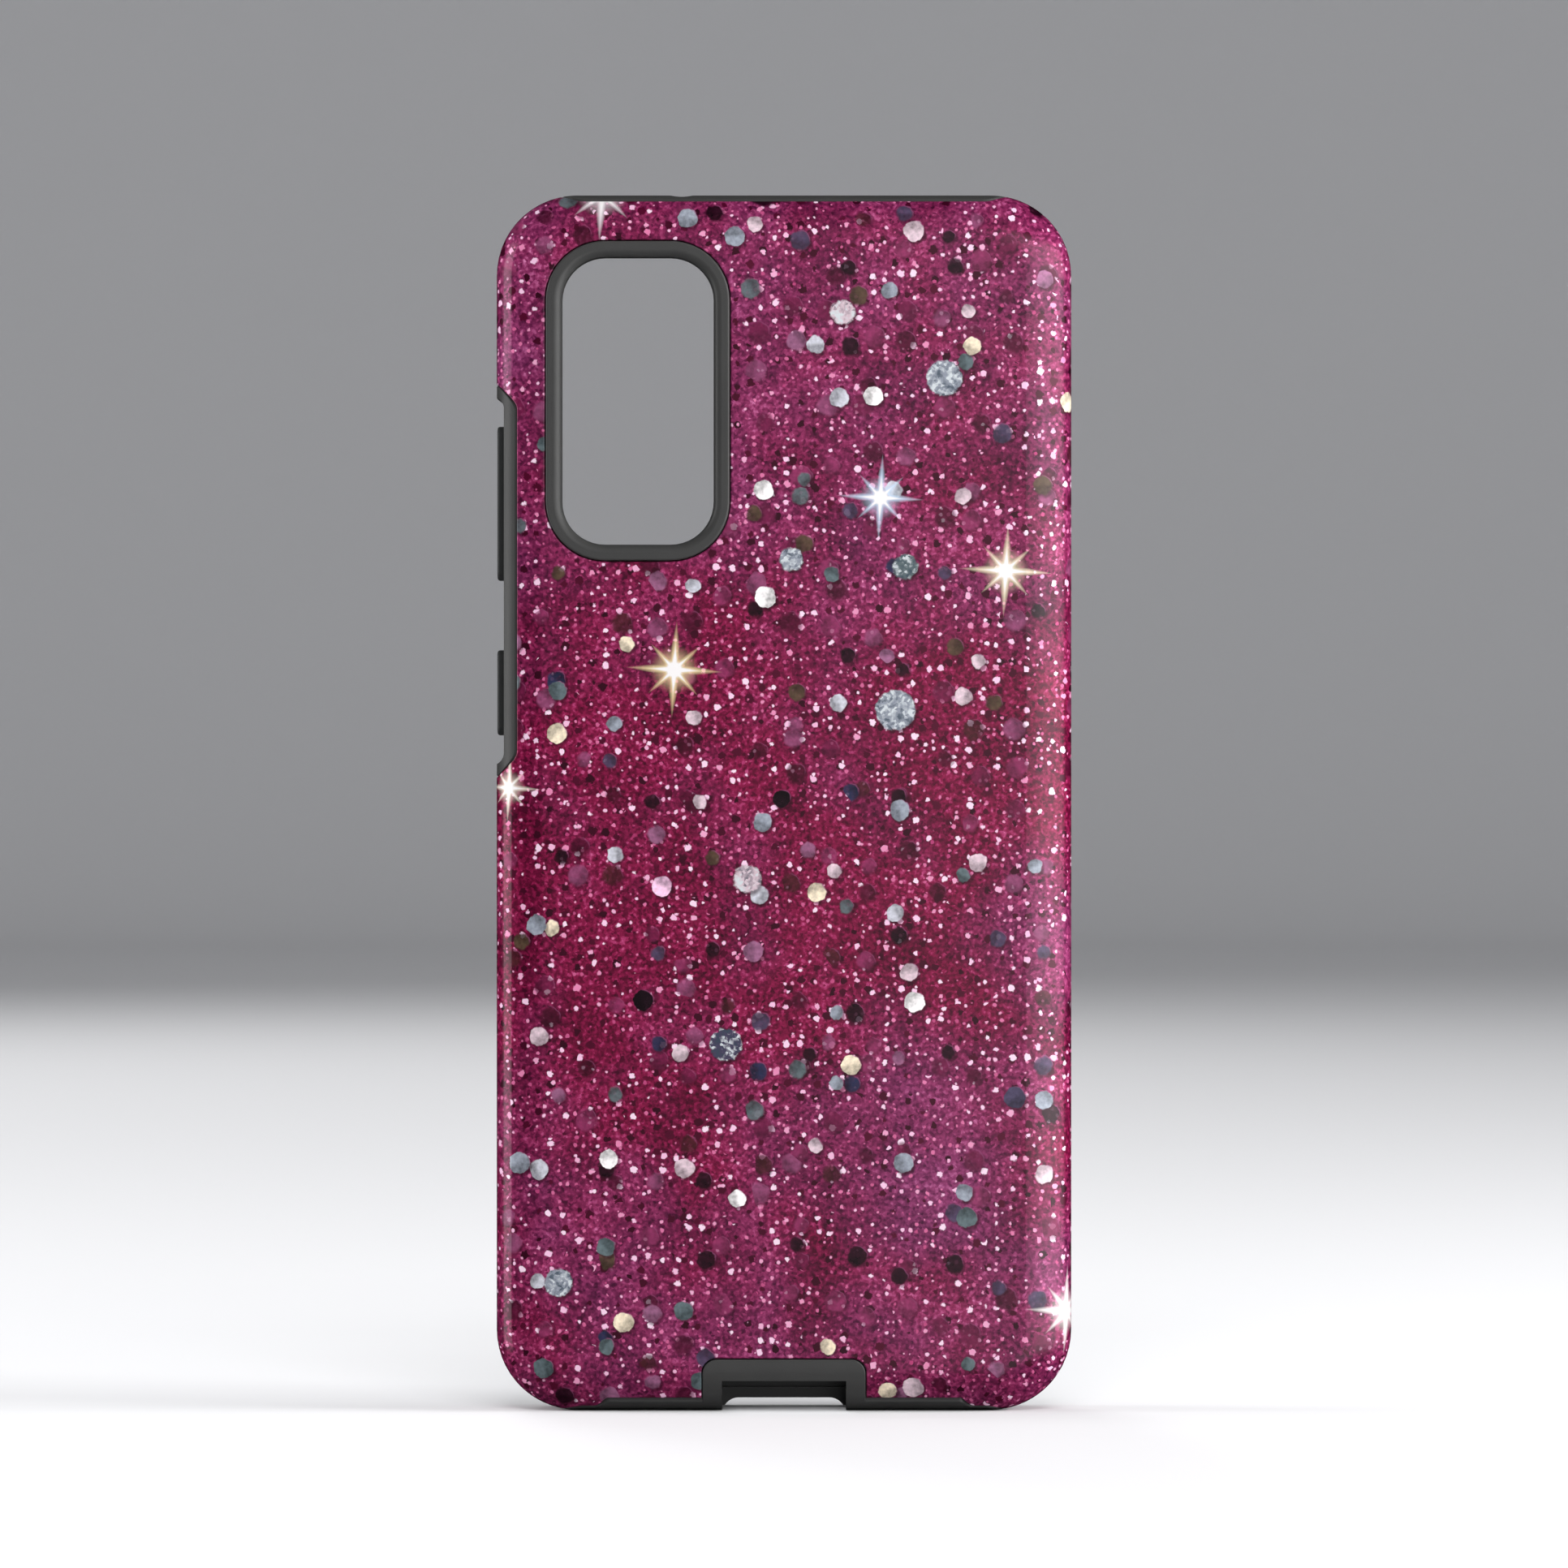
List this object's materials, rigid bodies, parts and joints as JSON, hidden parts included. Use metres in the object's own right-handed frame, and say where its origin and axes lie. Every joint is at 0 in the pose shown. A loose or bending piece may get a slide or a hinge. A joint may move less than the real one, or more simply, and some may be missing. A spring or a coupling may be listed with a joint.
{
  "type": "phone case",
  "caption": "Two-layer phone case: a rigid glitter-printed shell snapped over a soft liner with a camera window, a port opening and sprung key covers.",
  "frame": {"origin": "centre of the bottom edge, at half the depth", "axes": "+Z along the length towards the camera end, -Y out of the printed back, +Y towards the screen side, +X to the right as seen from behind"},
  "size_m": [0.0742, 0.0122, 0.1568],
  "materials": {
    "shell_print": "glossy clear coat over a magenta glitter print",
    "liner_soft": "matt moulded soft plastic",
    "key_soft": "matt moulded soft plastic"
  },
  "bodies": {
    "liner": {"inner_liner": "liner_soft", "volume_key_web": "liner_soft", "side_key_web": "liner_soft"},
    "shell": {"outer_shell": "shell_print"},
    "volume_key": {"volume_key_cover": "key_soft"},
    "side_key": {"side_key_cover": "key_soft"}
  },
  "joints": [
    {"name": "shell_pull_off", "type": "slide", "parent": "liner", "child": "shell", "axis": [0, -1, 0], "range_m": [0, 0.02]},
    {"name": "volume_key_press", "type": "slide", "parent": "liner", "child": "volume_key", "axis": [1, 0, 0], "range_m": [0, 0.00035], "stiffness_N_per_m": 2900, "deforming": ["volume_key_web"]},
    {"name": "side_key_press", "type": "slide", "parent": "liner", "child": "side_key", "axis": [1, 0, 0], "range_m": [0, 0.00035], "stiffness_N_per_m": 2900, "deforming": ["side_key_web"]}
  ]
}
